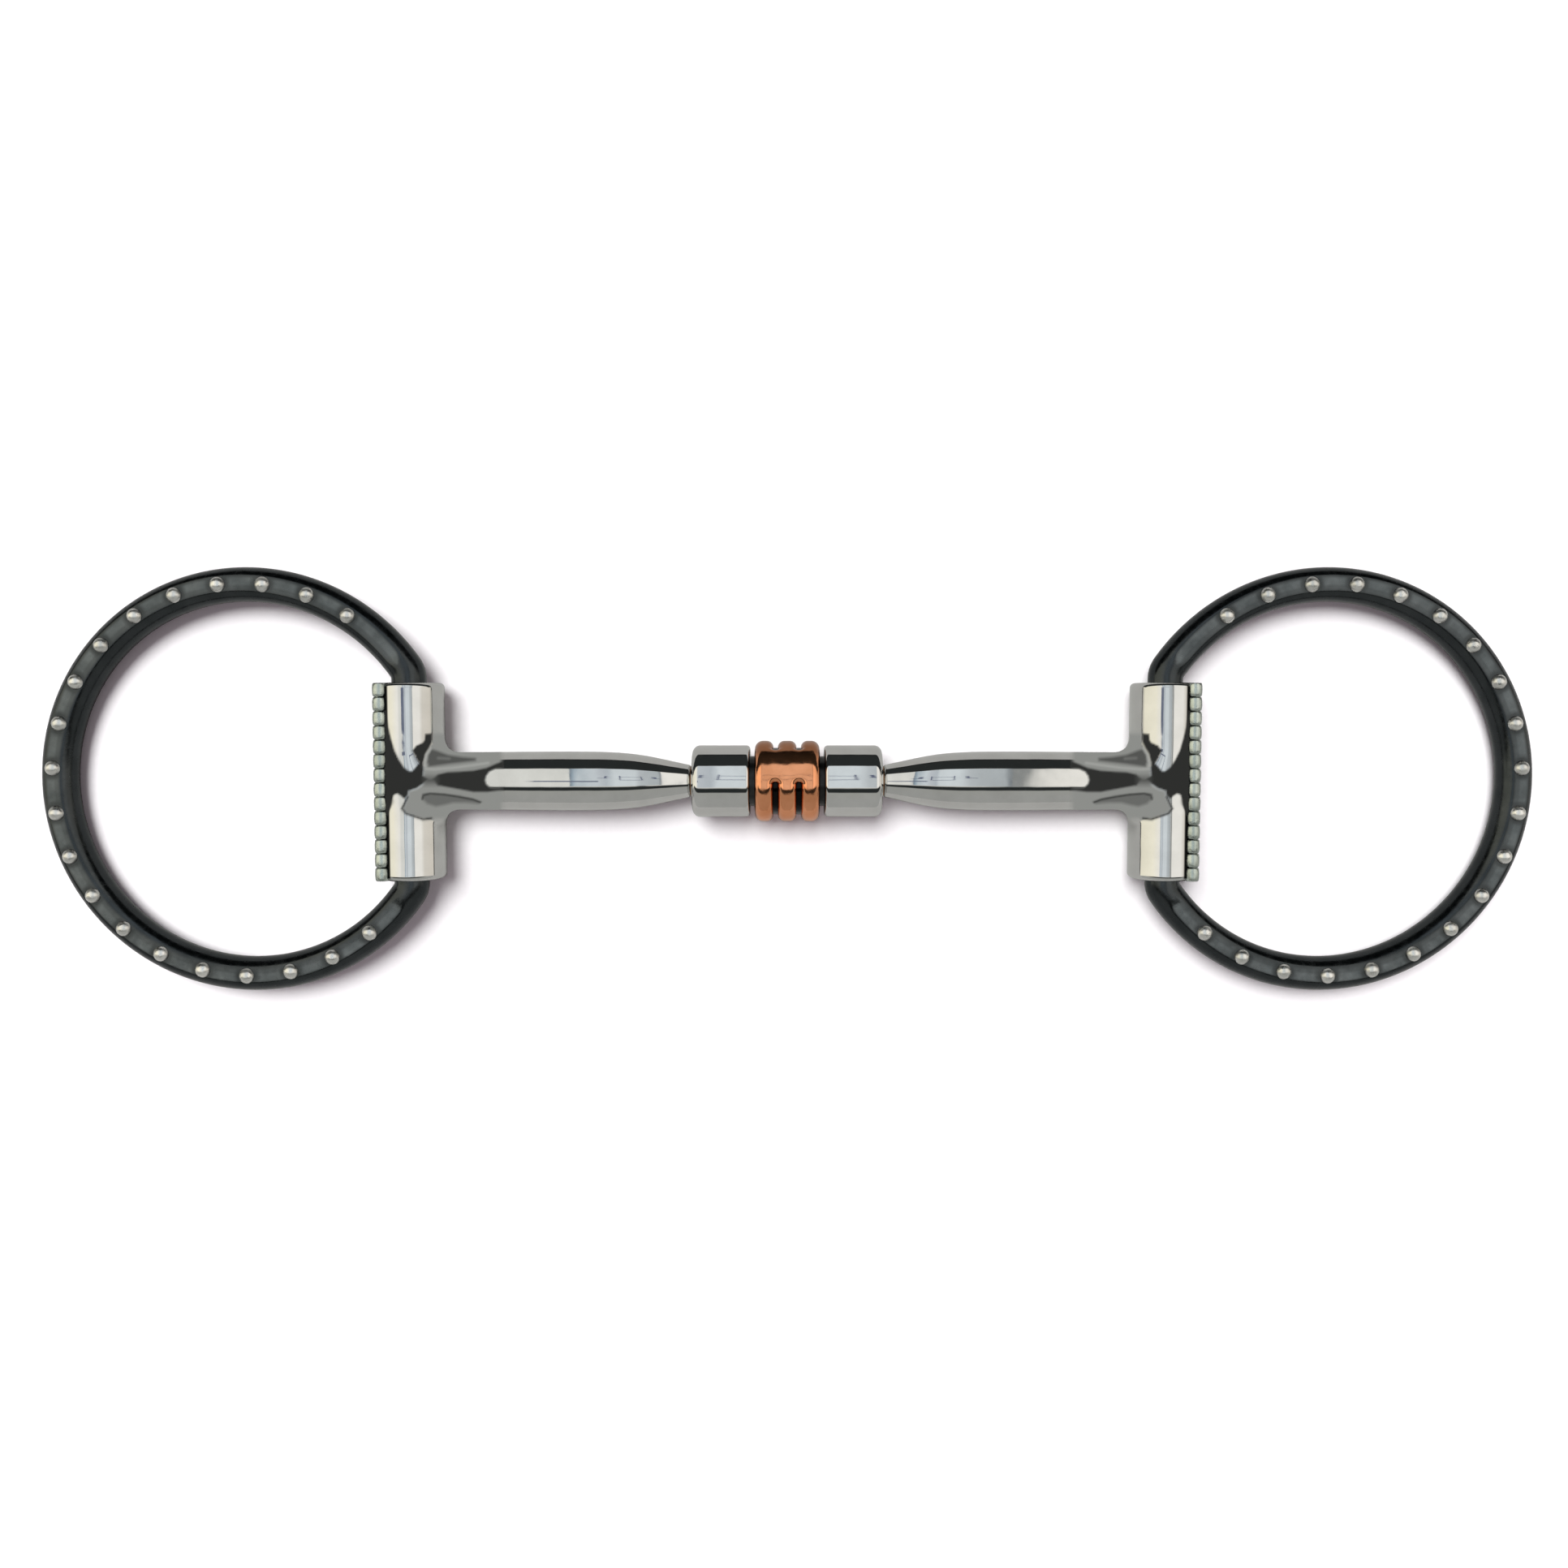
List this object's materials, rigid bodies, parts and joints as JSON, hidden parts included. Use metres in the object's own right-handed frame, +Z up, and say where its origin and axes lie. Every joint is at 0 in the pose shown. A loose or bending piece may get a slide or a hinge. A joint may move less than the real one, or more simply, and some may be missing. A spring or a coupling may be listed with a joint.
{
  "type": "horse snaffle bit",
  "caption": "Horse bit for a bridle: two rigid mouth arms meet in a barrel with a turning copper roller, and each arm's end sleeve carries a swinging studded dee ring.",
  "frame": {"origin": "on the plane the bit rests on when it lies flat, under the middle of the roller", "axes": "+X along the mouthpiece towards the right ring, +Y along the cheek sleeves, +Z up out of the studded face"},
  "size_m": [0.279, 0.079, 0.0149],
  "materials": {
    "polished_steel": "mirror polished stainless steel",
    "turned_steel": "turned steel",
    "copper": "polished copper",
    "bronze": "worn bronze",
    "blued_steel": "glossy blue-black steel",
    "nickel_silver": "bright nickel silver"
  },
  "bodies": {
    "barrel": {"barrel_core_tube": "turned_steel", "left_barrel_cap": "polished_steel", "right_barrel_cap": "polished_steel"},
    "roller": {"copper_roller": "copper"},
    "left_arm": {"left_mouth_arm": "polished_steel", "left_spindle_pin": "turned_steel", "left_thrust_washer": "bronze", "left_cheek_sleeve": "polished_steel", "left_bead_trim": "nickel_silver"},
    "left_ring": {"left_cheek_ring": "blued_steel", "left_ring_studs": "nickel_silver"},
    "right_arm": {"right_mouth_arm": "polished_steel", "right_spindle_pin": "turned_steel", "right_thrust_washer": "bronze", "right_cheek_sleeve": "polished_steel", "right_bead_trim": "nickel_silver"},
    "right_ring": {"right_cheek_ring": "blued_steel", "right_ring_studs": "nickel_silver"}
  },
  "joints": [
    {"name": "roller_spin", "type": "hinge", "parent": "barrel", "child": "roller", "pos_m": [0, 0, 0.00745], "axis": [1, 0, 0], "continuous": true},
    {"name": "left_arm_twist", "type": "hinge", "parent": "barrel", "child": "left_arm", "pos_m": [-0.0174, 0, 0.00745], "axis": [1, 0, 0], "continuous": true},
    {"name": "right_arm_twist", "type": "hinge", "parent": "barrel", "child": "right_arm", "pos_m": [0.0174, 0, 0.00745], "axis": [1, 0, 0], "continuous": true},
    {"name": "left_ring_swing", "type": "hinge", "parent": "left_arm", "child": "left_ring", "pos_m": [-0.06985, 0, 0.00635], "axis": [0, 1, 0], "range_deg": [-168, 171]},
    {"name": "right_ring_swing", "type": "hinge", "parent": "right_arm", "child": "right_ring", "pos_m": [0.06985, 0, 0.00635], "axis": [0, -1, 0], "range_deg": [-168, 171]}
  ]
}
